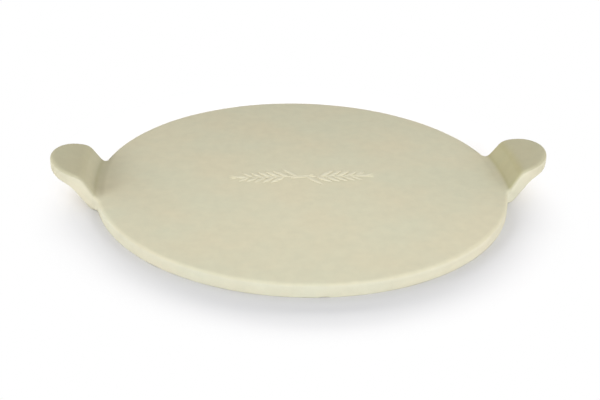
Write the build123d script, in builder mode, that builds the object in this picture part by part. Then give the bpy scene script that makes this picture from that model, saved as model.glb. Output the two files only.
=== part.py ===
from build123d import *
import math
import os

# A round pizza stone with two lifting handles, pressed and fired as one piece of clay.
# The stone stands on z = 0, its centre is the origin, and the handles lie along X.

# Driving dimensions, in millimetres and degrees.

# The round baking slab.
disc_diameter = 330.0
slab_thickness = 10.0
top_edge_round = 2.8
bottom_edge_round = 1.0

# The handles in plan: straight flanks that close in, two round corners and a curved tip.
root_width = 70.0
flank_angle = 14.0
handle_reach = 34.5
tip_crown = 14.0
corner_round = 24.0
notch_round = 8.0

# The handles in section: a steep wall, then a flatter lobe for the fingers.
root_line_radius = 340.0
wall_angle = 58.0
wall_rise = 16.7
lobe_angle = 17.0
root_round = 7.0
shoulder_round = 12.0

# The underside of the handles, which the fingers curl under.
foot_reach = 0.4
underside_angle = 51.0
lobe_depth = 10.6
keel_round = 5.0
finger_round = 16.0

# A far corner's round is at most this share of the lobe's half width.
corner_share = 0.85

# How far every raw body runs past the surface that trims it.
overrun = 20.0

# A face whose normal climbs less than this, as a sine, is an upright wall.
level = 0.05

# A corner of the plan is one of the handles' root corners when it is nearer than this.
nearness = 1e-4

# The stone's plan: a handle's flanks leave the rim at the root corners and run straight to
# the far corners, which the arc of the tip joins.
disc_radius = disc_diameter / 2
half_root = root_width / 2
corner_x = math.sqrt(disc_radius**2 - half_root**2)
tip_x = disc_radius + handle_reach
far_x = tip_x - tip_crown
far_y = half_root - (far_x - corner_x) * math.tan(math.radians(flank_angle))

# The line where a handle starts to rise is a flat arc through both corners of its root.
root_axis_x = corner_x - math.sqrt(root_line_radius**2 - half_root**2)
wall_slope = math.tan(math.radians(wall_angle))
lobe_slope = math.tan(math.radians(lobe_angle))
underside_slope = math.tan(math.radians(underside_angle))

# Corners of the handle's section, as radii about the centre of that arc, before rounding.
inner_r = root_line_radius - overrun
shoulder_r = root_line_radius + wall_rise / wall_slope
shoulder_z = slab_thickness + wall_rise
end_r = tip_x + overrun - root_axis_x
end_z = shoulder_z + (end_r - shoulder_r) * lobe_slope
keel_r = disc_radius + foot_reach - root_axis_x + keel_round * math.tan(math.radians(underside_angle / 2))
lobe_foot_z = shoulder_z - lobe_depth - (shoulder_r - keel_r) * lobe_slope
finger_r = keel_r + lobe_foot_z / (underside_slope - lobe_slope)
finger_z = (finger_r - keel_r) * underside_slope

# The section is swept far enough to pass the notches on both sides of the root.
half_sweep = math.degrees(math.asin((half_root + 2 * overrun) / root_line_radius))
section_plane = Plane(Location((root_axis_x, 0, 0), (0, 0, -half_sweep))) * Plane.XZ

# One handle as a raw arc-shaped ledge, still without its outline.
with BuildPart() as ledge:
    with BuildSketch(section_plane) as section:
        with BuildLine():
            Polyline(
                (inner_r, 0),
                (keel_r, 0),
                (finger_r, finger_z),
                (end_r, end_z - lobe_depth),
                (end_r, end_z),
                (shoulder_r, shoulder_z),
                (root_line_radius, slab_thickness),
                (inner_r, slab_thickness),
                close=True,
            )
        make_face()
        for corner, radius in (
            ((keel_r, 0), keel_round),
            ((finger_r, finger_z), finger_round),
            ((shoulder_r, shoulder_z), shoulder_round),
            ((root_line_radius, slab_thickness), root_round),
        ):
            fillet(section.vertices().sort_by_distance((*corner, 0))[0], radius)
    revolve(axis=Axis((root_axis_x, 0, 0), (0, 0, 1)), revolution_arc=2 * half_sweep)

# The outline of the whole stone: the disc, a lobe on each side, and rounded notches between.
with BuildSketch() as outline:
    Circle(disc_radius)
    with BuildSketch(mode=Mode.PRIVATE) as lobe:
        with BuildLine():
            Polyline(
                (far_x, -far_y),
                (corner_x, -half_root),
                (0, -half_root),
                (0, half_root),
                (corner_x, half_root),
                (far_x, far_y),
            )
            ThreePointArc((far_x, far_y), (tip_x, 0), (far_x, -far_y))
        make_face()
        fillet(lobe.vertices().group_by(Axis.X)[-1], min(corner_round, far_y * corner_share))
    add(lobe.sketch)
    add(lobe.sketch.mirror(Plane.YZ))
    root_corners = (
        outline.vertices()
        .filter_by(lambda v: math.isclose(abs(v.X), corner_x, abs_tol=nearness))
        .filter_by(lambda v: math.isclose(abs(v.Y), half_root, abs_tol=nearness))
    )
    fillet(root_corners, notch_round)

# The stone: disc and ledges in one body, trimmed to the outline, with every edge rounded.
with BuildPart() as baking_stone:
    with BuildSketch():
        Circle(disc_radius)
    extrude(amount=slab_thickness)
    add(ledge.part)
    add(ledge.part.mirror(Plane.YZ))
    add(outline.sketch)
    extrude(amount=end_z + overrun, mode=Mode.INTERSECT)

    # The rounded upper edge runs along the rim, up each flank and round each tip.
    walls = baking_stone.faces().filter_by(lambda face: abs(face.normal_at().Z) < level)
    tops = baking_stone.faces().filter_by(lambda face: face.normal_at().Z > level)
    fillet(walls.edges() & tops.edges(), top_edge_round)

    # The lower edge does the same round the flat base and under the handles.
    walls = baking_stone.faces().filter_by(lambda face: abs(face.normal_at().Z) < level)
    undersides = baking_stone.faces().filter_by(lambda face: face.normal_at().Z < -level)
    fillet(walls.edges() & undersides.edges(), bottom_edge_round)

baking_stone.part.label = "baking_stone"
os.makedirs("parts", exist_ok=True)
export_step(baking_stone.part, "parts/baking_stone.step")
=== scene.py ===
import math

import bmesh
import bpy
from mathutils import Matrix, Vector, noise


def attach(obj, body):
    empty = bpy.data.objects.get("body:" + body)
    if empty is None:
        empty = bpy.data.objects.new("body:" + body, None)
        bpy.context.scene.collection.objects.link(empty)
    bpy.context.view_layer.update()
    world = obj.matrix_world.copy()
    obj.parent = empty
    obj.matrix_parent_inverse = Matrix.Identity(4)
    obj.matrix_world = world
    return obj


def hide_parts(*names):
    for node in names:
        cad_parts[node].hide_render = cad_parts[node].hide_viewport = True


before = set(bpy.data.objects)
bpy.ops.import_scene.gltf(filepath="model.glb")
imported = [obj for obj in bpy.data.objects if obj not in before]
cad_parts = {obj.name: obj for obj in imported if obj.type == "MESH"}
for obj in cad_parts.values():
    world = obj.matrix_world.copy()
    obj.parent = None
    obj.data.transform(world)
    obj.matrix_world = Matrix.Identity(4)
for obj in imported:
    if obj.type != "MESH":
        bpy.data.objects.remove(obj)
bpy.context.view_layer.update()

# The stone: the disc and both lifting handles, pressed from one charge of pale clay in one
# mould and fired once. It is unglazed, so its skin is dry, finely grained and never quite
# even, and the pressed edges are a little softer than a drawing's.

# Sizes of the skin, in metres. The dips of the skin go inward only: a share of the deepest
# dip that swings round its middle, in wide patches with finer ones on them.
seam_reach = 1e-6
skin_cell = 0.001
softening = 0.5
deepest_dip = 0.00018
dip_middle = 0.5
dip_swing = 0.5
dip_patch = 0.045
fine_dip_share = 0.5
fine_dips_per_patch = 3
kept_share = 0.42

# The foot of the rim, where the clay is pressed out square onto the floor of the mould.
foot_radius = 0.1649
foot_inner = 0.1636
foot_height = 0.0014
foot_lift = 0.0003


def piece_from(form, name):
    mesh = bpy.data.meshes.new(name)
    form.to_mesh(mesh)
    form.free()
    piece = bpy.data.objects.new(name, mesh)
    bpy.context.scene.collection.objects.link(piece)
    return piece


def merged_copy(node, name):
    form = bmesh.new()
    form.from_mesh(node.data)
    bmesh.ops.remove_doubles(form, verts=form.verts, dist=seam_reach)
    return piece_from(form, name)


def applied(piece, modifier):
    seen = piece.evaluated_get(bpy.context.evaluated_depsgraph_get())
    finished = bpy.data.meshes.new_from_object(seen)
    piece.modifiers.remove(modifier)
    piece.data = finished


def even_skin(piece):
    remesh = piece.modifiers.new("even skin", "REMESH")
    remesh.mode = "VOXEL"
    remesh.voxel_size = skin_cell
    remesh.adaptivity = 0
    applied(piece, remesh)


def soften_edges(form):
    bmesh.ops.smooth_vert(
        form,
        verts=form.verts,
        factor=softening,
        use_axis_x=True,
        use_axis_y=True,
        use_axis_z=True,
    )
    form.normal_update()


def square_foot(form):
    for vert in form.verts:
        reach = math.hypot(vert.co.x, vert.co.y)
        if vert.co.z < foot_height and foot_inner < reach < foot_radius:
            vert.co.x *= foot_radius / reach
            vert.co.y *= foot_radius / reach
            vert.co.z = max(vert.co.z - foot_lift, 0) * foot_height / (foot_height - foot_lift)


def dip_skin(form):
    for vert in form.verts:
        wide = noise.noise(vert.co / dip_patch)
        fine = noise.noise(vert.co * fine_dips_per_patch / dip_patch)
        share = dip_middle + dip_swing * (wide + fine_dip_share * fine)
        vert.co -= vert.normal * deepest_dip * min(max(share, 0), 1)


def press(piece):
    form = bmesh.new()
    form.from_mesh(piece.data)
    soften_edges(form)
    square_foot(form)
    dip_skin(form)
    for face in form.faces:
        face.smooth = True
    form.to_mesh(piece.data)
    form.free()


def thin_out_flats(piece):
    thinning = piece.modifiers.new("thinner flats", "DECIMATE")
    thinning.ratio = kept_share
    applied(piece, thinning)


stone = merged_copy(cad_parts["baking_stone"], "stone")
even_skin(stone)
press(stone)
thin_out_flats(stone)


# The steps that every material here is built from. A value is either the output of another
# step, which is linked, or a number or colour, which is set.


def give(tree, socket, value):
    if isinstance(value, bpy.types.NodeSocket):
        tree.links.new(value, socket)
    else:
        socket.default_value = value


def reckoned(tree, operation, *values):
    step = tree.nodes.new("ShaderNodeMath")
    step.operation = operation
    for socket, value in zip(step.inputs, values):
        give(tree, socket, value)
    return step.outputs["Value"]


def graded(tree, value, start, end, low=0.0, high=1.0, soft=False):
    step = tree.nodes.new("ShaderNodeMapRange")
    step.interpolation_type = "SMOOTHSTEP" if soft else "LINEAR"
    give(tree, step.inputs["Value"], value)
    give(tree, step.inputs["From Min"], start)
    give(tree, step.inputs["From Max"], end)
    give(tree, step.inputs["To Min"], low)
    give(tree, step.inputs["To Max"], high)
    return step.outputs["Result"]


def mixed(tree, amount, without, full):
    step = tree.nodes.new("ShaderNodeMix")
    step.data_type = "RGBA"
    give(tree, step.inputs["Factor"], amount)
    give(tree, step.inputs["A"], without)
    give(tree, step.inputs["B"], full)
    return step.outputs["Result"]


def scaled(tree, colour, factor):
    step = tree.nodes.new("ShaderNodeVectorMath")
    step.operation = "SCALE"
    give(tree, step.inputs["Vector"], colour)
    give(tree, step.inputs["Scale"], factor)
    return step.outputs["Vector"]


def multiplied(tree, first, second):
    step = tree.nodes.new("ShaderNodeVectorMath")
    step.operation = "MULTIPLY"
    give(tree, step.inputs[0], first)
    give(tree, step.inputs[1], second)
    return step.outputs["Vector"]


def length_of(tree, vector):
    step = tree.nodes.new("ShaderNodeVectorMath")
    step.operation = "LENGTH"
    give(tree, step.inputs[0], vector)
    return step.outputs["Value"]


def object_place(tree):
    return tree.nodes.new("ShaderNodeTexCoord").outputs["Object"]


def effect_group(name, socket_type, inputs, outputs):
    group = bpy.data.node_groups.new(name, "ShaderNodeTree")
    for socket in inputs:
        group.interface.new_socket(socket, in_out="INPUT", socket_type=socket_type)
    for socket in outputs:
        group.interface.new_socket(socket, in_out="OUTPUT", socket_type=socket_type)
    given = group.nodes.new("NodeGroupInput").outputs
    put_out = group.nodes.new("NodeGroupOutput").inputs
    return group, given, put_out


def placed(tree, group, values):
    effect = tree.nodes.new("ShaderNodeGroup")
    effect.node_tree = group
    for socket, value in values.items():
        give(tree, effect.inputs[socket], value)
    return effect.outputs


# The firing clouds: soft patches that the fire leaves, as two patterns that don't match.
cloud_detail = 4
cloud_roughness = 0.55
tint_shift = 3.7


def firing_clouds():
    group, given, put_out = effect_group(
        "firing clouds", "NodeSocketFloat", ("Cloud Size",), ("Clouds", "Tint")
    )
    place = object_place(group)
    fineness = reckoned(group, "DIVIDE", 1.0, given["Cloud Size"])
    for output, shift in (("Clouds", 0.0), ("Tint", tint_shift)):
        shifted = group.nodes.new("ShaderNodeMapping")
        shifted.inputs["Location"].default_value = (shift, shift, 0)
        cloud = group.nodes.new("ShaderNodeTexNoise")
        cloud.inputs["Detail"].default_value = cloud_detail
        cloud.inputs["Roughness"].default_value = cloud_roughness
        group.links.new(place, shifted.inputs["Vector"])
        group.links.new(shifted.outputs["Vector"], cloud.inputs["Vector"])
        group.links.new(fineness, cloud.inputs["Scale"])
        group.links.new(cloud.outputs["Fac"], put_out[output])
    return group


# The clay's grain, with a coarser scatter of grog that leaves small pits with dark specks in
# them. The widths of pits and specks are shares of the space between two bits of grog.
grain_detail = 3
grain_roughness = 0.65
grog_per_grain = 0.4
pit_floor = 0.05
pit_edge = 0.28
speck_edge = 0.17
speck_core = 0.06


def clay_grain():
    group, given, put_out = effect_group(
        "clay grain", "NodeSocketFloat", ("Grain Size",), ("Height", "Specks")
    )
    place = object_place(group)
    fineness = reckoned(group, "DIVIDE", 1.0, given["Grain Size"])
    grain = group.nodes.new("ShaderNodeTexNoise")
    grain.inputs["Detail"].default_value = grain_detail
    grain.inputs["Roughness"].default_value = grain_roughness
    group.links.new(place, grain.inputs["Vector"])
    group.links.new(fineness, grain.inputs["Scale"])
    grog = group.nodes.new("ShaderNodeTexVoronoi")
    group.links.new(place, grog.inputs["Vector"])
    group.links.new(reckoned(group, "MULTIPLY", fineness, grog_per_grain), grog.inputs["Scale"])
    pits = graded(group, grog.outputs["Distance"], pit_floor, pit_edge)
    specks = graded(group, grog.outputs["Distance"], speck_edge, speck_core)
    group.links.new(reckoned(group, "MULTIPLY", grain.outputs["Fac"], pits), put_out["Height"])
    group.links.new(specks, put_out["Specks"])
    return group


# Painted shade and tints: painted shade on the handle tops and tips and in the folds, a bluer
# tone on upright faces with painted light growing towards their foot, and an ochre tint on the
# right handle's inward wall. Each begins and is full at a height, a reach from the centre, or a
# share of the face's normal that points up, or along X for the ochre wall.
tint_sockets = ("Painted Handle Shade", "Painted Fold Shade", "Wall Tint And Painted Light", "Ochre Tint")
no_tint = (1, 1, 1, 1)
handle_shade_from = 0.0102
handle_shade_full = 0.0128
topside_from = 0.25
topside_full = 0.6
tip_from = 0.176
tip_full = 0.203
wall_from = 0.75
wall_full = 0.3
painted_light_top = 0.008
painted_light_gain = 1.06
ochre_from = -0.25
ochre_full = -0.85
side_change = 0.01

# The line of each fold is an arc about a point beyond the centre. Its painted shade, with a
# wider haze of painted shadow on the face beside it, fades before the front end of the fold,
# and is weaker on the right.
fold_axis = 0.17695
fold_radius = 0.3393
fold_reach = 0.0065
fold_haze = 0.25
fold_haze_reach = 0.032
fold_right_share = 0.35
fold_front_end = -0.038
fold_front_full = -0.016


def painted_shade_group():
    group, given, put_out = effect_group(
        "painted shade and tints", "NodeSocketColor", tint_sockets, ("Tint",)
    )
    place = group.nodes.new("ShaderNodeSeparateXYZ")
    group.links.new(object_place(group), place.inputs["Vector"])
    facing = group.nodes.new("ShaderNodeSeparateXYZ")
    geometry = group.nodes.new("ShaderNodeNewGeometry")
    group.links.new(geometry.outputs["Normal"], facing.inputs["Vector"])
    outward = reckoned(group, "ABSOLUTE", place.outputs["X"])

    # Painted shade: the handle tops and the outer ends of the handles are coloured darker.
    raised = graded(group, place.outputs["Z"], handle_shade_from, handle_shade_full, soft=True)
    topside = graded(group, facing.outputs["Z"], topside_from, topside_full, soft=True)
    handle_top = reckoned(group, "MULTIPLY", raised, topside)
    handle_tip = graded(group, outward, tip_from, tip_full)
    handle_shade_mask = reckoned(group, "MAXIMUM", handle_top, handle_tip)
    handle_shade = mixed(group, handle_shade_mask, no_tint, given["Painted Handle Shade"])

    # Painted shade in each fold, with a wider haze of painted shadow on the face beside it, heavier on
    # the left.
    from_axis = group.nodes.new("ShaderNodeCombineXYZ")
    group.links.new(reckoned(group, "ADD", outward, fold_axis), from_axis.inputs["X"])
    group.links.new(place.outputs["Y"], from_axis.inputs["Y"])
    past_fold = reckoned(group, "SUBTRACT", length_of(group, from_axis.outputs["Vector"]), fold_radius)
    off_fold = reckoned(group, "ABSOLUTE", past_fold)
    in_fold = graded(group, off_fold, fold_reach, 0, soft=True)
    haze = graded(group, off_fold, fold_haze_reach, 0, high=fold_haze, soft=True)
    by_side = graded(group, place.outputs["X"], -side_change, side_change, 1.0, fold_right_share)
    to_front = graded(group, place.outputs["Y"], fold_front_end, fold_front_full, soft=True)
    fold_shade_mask = reckoned(group, "ADD", in_fold, haze)
    for share in (by_side, to_front, topside):
        fold_shade_mask = reckoned(group, "MULTIPLY", fold_shade_mask, share)
    fold = mixed(group, graded(group, fold_shade_mask, 0, 1 + fold_haze), no_tint, given["Painted Fold Shade"])

    # The upright faces get a bluer tone, and painted light from the table that grows stronger towards
    # their foot.
    upright = graded(group, facing.outputs["Z"], wall_from, wall_full, soft=True)
    to_base = graded(group, place.outputs["Z"], painted_light_top, 0, 1.0, painted_light_gain)
    wall = mixed(group, upright, no_tint, scaled(group, given["Wall Tint And Painted Light"], to_base))

    inward = graded(group, facing.outputs["X"], ochre_from, ochre_full, soft=True)
    right_hand = graded(group, place.outputs["X"], -side_change, side_change)
    right_wall = reckoned(group, "MULTIPLY", handle_top, inward)
    right_wall = reckoned(group, "MULTIPLY", right_wall, right_hand)
    ochre = mixed(group, right_wall, no_tint, given["Ochre Tint"])

    shade_and_tints = handle_shade
    for tint in (fold, wall, ochre):
        shade_and_tints = multiplied(group, shade_and_tints, tint)
    group.links.new(shade_and_tints, put_out["Tint"])
    return group


# The clay itself: two body colours in broad clouds, a fine mottling, specks, and the painted
# shade and tints above.
clay_shine = 0.25
broad_cloud = 0.06
fine_cloud = 0.009
grit_size = 0.0006
cool_from = 0.35
cool_full = 0.65
cloud_low = 0.3
cloud_high = 0.7
mottling = 0.025
speck_share = 0.35
least_rough = 0.78
most_rough = 0.94
grain_strength = 0.35
grain_depth = 0.0002

clouds_of_firing = firing_clouds()
grain_of_clay = clay_grain()
painted_shade_and_tints = painted_shade_group()


def fired_clay(name, body_colour, cool_colour, speck_colour, tints):
    clay = bpy.data.materials.new(name)
    clay.use_nodes = True
    tree = clay.node_tree
    surface = tree.nodes["Principled BSDF"]
    surface.inputs["Specular IOR Level"].default_value = clay_shine
    broad = placed(tree, clouds_of_firing, {"Cloud Size": broad_cloud})
    fine = placed(tree, clouds_of_firing, {"Cloud Size": fine_cloud})
    grain = placed(tree, grain_of_clay, {"Grain Size": grit_size})
    shade_and_tints = placed(tree, painted_shade_and_tints, {socket: (*tint, 1) for socket, tint in tints.items()})

    coolness = graded(tree, broad["Tint"], cool_from, cool_full)
    colour = mixed(tree, coolness, (*body_colour, 1), (*cool_colour, 1))
    mottle = graded(tree, fine["Clouds"], cloud_low, cloud_high, 1 - mottling, 1 + mottling)
    colour = scaled(tree, colour, mottle)
    specks = reckoned(tree, "MULTIPLY", grain["Specks"], speck_share)
    colour = mixed(tree, specks, colour, (*speck_colour, 1))
    colour = multiplied(tree, colour, shade_and_tints["Tint"])
    tree.links.new(colour, surface.inputs["Base Color"])

    dryness = graded(tree, broad["Clouds"], cloud_low, cloud_high, least_rough, most_rough)
    tree.links.new(dryness, surface.inputs["Roughness"])

    bump = tree.nodes.new("ShaderNodeBump")
    bump.inputs["Strength"].default_value = grain_strength
    bump.inputs["Distance"].default_value = grain_depth
    tree.links.new(grain["Height"], bump.inputs["Height"])
    tree.links.new(bump.outputs["Normal"], surface.inputs["Normal"])
    return clay


stone.data.materials.append(
    fired_clay(
        "fired clay",
        body_colour=(0.717, 0.647, 0.456),
        cool_colour=(0.691, 0.652, 0.47),
        speck_colour=(0.435, 0.368, 0.252),
        # The handle tops, tips and folds carry painted shade, the upright walls a bluer tone with
        # painted light towards the foot.
        tints={
            "Painted Handle Shade": (0.79, 0.793, 0.745),
            "Painted Fold Shade": (0.715, 0.71, 0.67),
            "Wall Tint And Painted Light": (0.997, 1.013, 1.07),
            "Ochre Tint": (1.0, 0.985, 0.86),
        },
    )
)
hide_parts("baking_stone")
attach(stone, "root")

# The wheat relief: two ears end to end with crossed stems, cut into the upper half of the
# mould, so they stand on the middle of the baking face in the same clay, coloured a little
# paler.

# Places along X from the stone's centre, leans from X, and sizes as length, width and height,
# of which the upper half shows. Each pair of grains is a little slimmer than the one before.
face_level = 0.01
ear_start = 0.0115
grain_pairs = 5
grain_step = 0.0071
grain_stagger = 0.5
grain_size = (0.016, 0.0044, 0.0018)
grain_lean = math.radians(43)
grain_slimming = 0.07
grain_taper = 0.45
grain_rounding = 3
tip_setback = 0.4
tip_grain_size = (0.01, 0.004, 0.0017)
awn_start_share = 0.6
awn_size = (0.0095, 0.0009, 0.0009)
awn_leans = (-0.35, 0.0, 0.35)
leaf_start = 0.0035
leaf_size = (0.019, 0.0038, 0.0013)
leaf_lean = -0.9
stem_half_width = 0.0008
stem_half_height = 0.0005
stem_radius = 0.075
stem_sweep = math.radians(16)
stem_sides = 12
stem_steps = 20

# The painted shade and tints don't reach the middle of the face.
untinted = {socket: (1, 1, 1) for socket in tint_sockets}


def wheat_grain(form, foot, lean, size):
    verts = bmesh.ops.create_icosphere(form, subdivisions=grain_rounding, radius=1)["verts"]
    for vert in verts:
        vert.co.y *= 1 - grain_taper * max(vert.co.x, 0) ** 2
    bmesh.ops.translate(form, vec=(1, 0, 0), verts=verts)
    bmesh.ops.scale(form, vec=[extent / 2 for extent in size], verts=verts)
    bmesh.ops.rotate(form, cent=(0, 0, 0), matrix=Matrix.Rotation(lean, 3, "Z"), verts=verts)
    bmesh.ops.translate(form, vec=(foot, 0, face_level), verts=verts)


def crossed_stem(form):
    verts = bmesh.ops.create_circle(form, segments=stem_sides, radius=1)["verts"]
    bmesh.ops.scale(form, vec=(stem_half_width, stem_half_height, 1), verts=verts)
    for axis in ("X", "Z"):
        quarter_turn = Matrix.Rotation(math.pi / 2, 3, axis)
        bmesh.ops.rotate(form, cent=(0, 0, 0), matrix=quarter_turn, verts=verts)
    bmesh.ops.translate(form, vec=(ear_start, 0, face_level), verts=verts)
    bmesh.ops.spin(
        form,
        geom=list(dict.fromkeys(edge for vert in verts for edge in vert.link_edges)),
        cent=(ear_start, -stem_radius, face_level),
        axis=(0, 0, 1),
        angle=stem_sweep,
        steps=stem_steps,
    )
    bmesh.ops.holes_fill(form, edges=form.edges)


def half_turned_copy(form):
    whole = form.verts[:] + form.edges[:] + form.faces[:]
    copy = bmesh.ops.duplicate(form, geom=whole)["geom"]
    verts = [part for part in copy if isinstance(part, bmesh.types.BMVert)]
    bmesh.ops.rotate(form, cent=(0, 0, 0), matrix=Matrix.Rotation(math.pi, 3, "Z"), verts=verts)


wheat_form = bmesh.new()
for pair in range(grain_pairs):
    slimmer = 1 - grain_slimming * pair
    for side in (1, -1):
        foot = ear_start + grain_step * (pair + grain_stagger * (side > 0))
        size = [slimmer * extent for extent in grain_size]
        wheat_grain(wheat_form, foot, side * grain_lean, size)
ear_end = ear_start + grain_step * (grain_pairs - tip_setback)
wheat_grain(wheat_form, ear_end, 0, tip_grain_size)
for lean in awn_leans:
    wheat_grain(wheat_form, ear_end + awn_start_share * tip_grain_size[0], lean, awn_size)
spine_size = (ear_end - ear_start, 2 * stem_half_width, 2 * stem_half_height)
wheat_grain(wheat_form, ear_start, 0, spine_size)
wheat_grain(wheat_form, leaf_start, leaf_lean, leaf_size)
crossed_stem(wheat_form)
half_turned_copy(wheat_form)
bmesh.ops.recalc_face_normals(wheat_form, faces=wheat_form.faces)
for face in wheat_form.faces:
    face.smooth = True

wheat = piece_from(wheat_form, "wheat_relief")
wheat.data.materials.append(
    fired_clay(
        "paler clay",
        body_colour=(0.748, 0.684, 0.5),
        cool_colour=(0.734, 0.686, 0.51),
        speck_colour=(0.468, 0.4, 0.283),
        tints=untinted,
    )
)
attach(wheat, "root")

# The studio: the stone lies on a wide white table top, which a white room goes on from.
# Neither belongs to the stone. The table keeps the soft shadow under rim and handles, and
# where it is looked at or mirrored it fades to plain white round the stone, sooner along X.

table_half_width = 4.0
table_white = (0.664, 0.648, 0.638)
fade_start = 0.178
fade_end = 0.24
fade_narrowing = (1.08, 1, 1)
plain_light = 1.0
room_light = 0.2

table_form = bmesh.new()
bmesh.ops.create_grid(table_form, x_segments=1, y_segments=1, size=table_half_width)
table = piece_from(table_form, "table")


def looked_at(tree):
    rays = tree.nodes.new("ShaderNodeLightPath").outputs
    seen = reckoned(tree, "MAXIMUM", rays["Is Camera Ray"], rays["Is Glossy Ray"])
    return reckoned(tree, "MAXIMUM", seen, rays["Is Transmission Ray"])


def white_table():
    paint = bpy.data.materials.new("white table")
    paint.use_nodes = True
    tree = paint.node_tree
    tree.nodes.remove(tree.nodes["Principled BSDF"])
    matt = tree.nodes.new("ShaderNodeBsdfDiffuse")
    matt.inputs["Color"].default_value = (*table_white, 1)
    plain_white = tree.nodes.new("ShaderNodeEmission")
    plain_white.inputs["Strength"].default_value = plain_light
    distance = length_of(tree, multiplied(tree, object_place(tree), fade_narrowing))
    far_off = graded(tree, distance, fade_start, fade_end, soft=True)
    surface = tree.nodes.new("ShaderNodeMixShader")
    tree.links.new(reckoned(tree, "MULTIPLY", far_off, looked_at(tree)), surface.inputs["Fac"])
    tree.links.new(matt.outputs["BSDF"], surface.inputs[1])
    tree.links.new(plain_white.outputs["Emission"], surface.inputs[2])
    tree.links.new(surface.outputs["Shader"], tree.nodes["Material Output"].inputs["Surface"])
    return paint


def white_room():
    room = bpy.data.worlds.new("white room")
    room.use_nodes = True
    tree = room.node_tree
    backdrop = tree.nodes["Background"]
    backdrop.inputs["Color"].default_value = (1, 1, 1, 1)
    level = graded(tree, looked_at(tree), 0.0, 1.0, room_light, plain_light)
    tree.links.new(level, backdrop.inputs["Strength"])
    return room


table.data.materials.append(white_table())
bpy.context.scene.world = white_room()

# The lamps: soft boxes stand round the stone, low enough to lighten the rim and the sides of
# the handles more than the baking face. None uses multiple importance sampling, because with
# it the lamps that light one thing alone would change the light of the others.

# A lamp's azimuth from the front and its elevation are in degrees, its distance from the
# stone's centre and its width and height in metres, and its power in watts.
cool_light = (0.89, 0.94, 1.0)
plain_white_light = (1.0, 1.0, 1.0)
broad_box = (0.5, 0.3)
slim_box = (0.5, 0.2)
large_box = (0.6, 0.3)
small_box = (0.1, 0.1)


def soft_box(name, azimuth, elevation, distance, size, power, colour=plain_white_light):
    lamp = bpy.data.lights.new(name, "AREA")
    lamp.shape = "RECTANGLE"
    lamp.size, lamp.size_y = size
    lamp.energy = power
    lamp.color = colour
    lamp.cycles.use_multiple_importance_sampling = False
    holder = bpy.data.objects.new(name, lamp)
    holder.visible_camera = False
    bpy.context.scene.collection.objects.link(holder)
    turn = math.radians(azimuth)
    rise = math.radians(elevation)
    away = Vector((math.sin(turn) * math.cos(rise), -math.cos(turn) * math.cos(rise), math.sin(rise)))
    aimed = away.to_track_quat("Z", "Y").to_matrix().to_4x4()
    holder.matrix_world = Matrix.Translation(away * distance) @ aimed
    return holder


def lit_alone(name, pieces, lamps):
    lit = bpy.data.collections.new(name)
    for piece in pieces:
        lit.objects.link(piece)
    for lamp in lamps:
        lamp.light_linking.receiver_collection = lit


soft_box("high front box", 0, 45, 1.0, broad_box, 2.05, cool_light)
soft_box("front box", 0, 10, 1.0, slim_box, 0.35, cool_light)
soft_box("left front box", -60, 20, 1.0, broad_box, 3.7, cool_light)
soft_box("right front box", 30, 20, 1.0, broad_box, 3.35, cool_light)
soft_box("right box", 60, 20, 1.0, broad_box, 0.6, cool_light)
soft_box("high left box", -110, 50, 1.0, slim_box, 1.0)
soft_box("high right box", 80, 50, 1.0, slim_box, 1.25)
soft_box("low left box", -110, 12, 1.0, slim_box, 1.4)
soft_box("low right box", 110, 12, 1.0, slim_box, 1.05)
soft_box("back box", 145, 20, 1.2, large_box, 2.1)

# A small box overhead lights the stone alone, most of all the middle of the baking face. Four
# sheets behind the stone light the table alone, and draw the shadow out to the viewer.
overhead = soft_box("overhead box", 0, 76, 0.21, small_box, 0.038, cool_light)
sheets = (
    soft_box("lowest sheet", 180, 6, 2.5, (2.0, 0.25), 45),
    soft_box("low sheet", 180, 13, 2.5, (4.0, 0.35), 144),
    soft_box("wide sheet", 180, 25, 2.5, (8.0, 0.5), 67),
    soft_box("high sheet", 180, 55, 2.5, (8.0, 0.5), 20.5),
)
lit_alone("stone alone", (stone, wheat), (overhead,))
lit_alone("table alone", (table,), sheets)

# The camera stands a little to the left of the front and looks down on the stone. Its place
# and its focal length, in pixels of the picture, were fitted to the stone's outlines.

view_azimuth = math.radians(-5.7)
view_elevation = math.radians(27.116)
view_roll = math.radians(1.663)
view_distance = 0.7813
view_target = Vector((-0.00142, 0.00014, -0.01164))
picture_width = 600
focal_pixels = 947.284
sensor_width = 36
sight_limit = 20

lens = bpy.data.cameras.new("camera")
lens.sensor_width = sensor_width
lens.lens = sensor_width * focal_pixels / picture_width
lens.clip_end = sight_limit
camera = bpy.data.objects.new("camera", lens)
bpy.context.scene.collection.objects.link(camera)
back = Vector((
    math.sin(view_azimuth) * math.cos(view_elevation),
    -math.cos(view_azimuth) * math.cos(view_elevation),
    math.sin(view_elevation),
))
level_right = (-back).cross(Vector((0, 0, 1))).normalized()
level_up = level_right.cross(-back)
right = math.cos(view_roll) * level_right + math.sin(view_roll) * level_up
up = -math.sin(view_roll) * level_right + math.cos(view_roll) * level_up
aimed = Matrix((right, up, back)).transposed().to_4x4()
camera.matrix_world = Matrix.Translation(view_target + back * view_distance) @ aimed
bpy.context.scene.camera = camera
bpy.context.scene.view_settings.view_transform = "Standard"
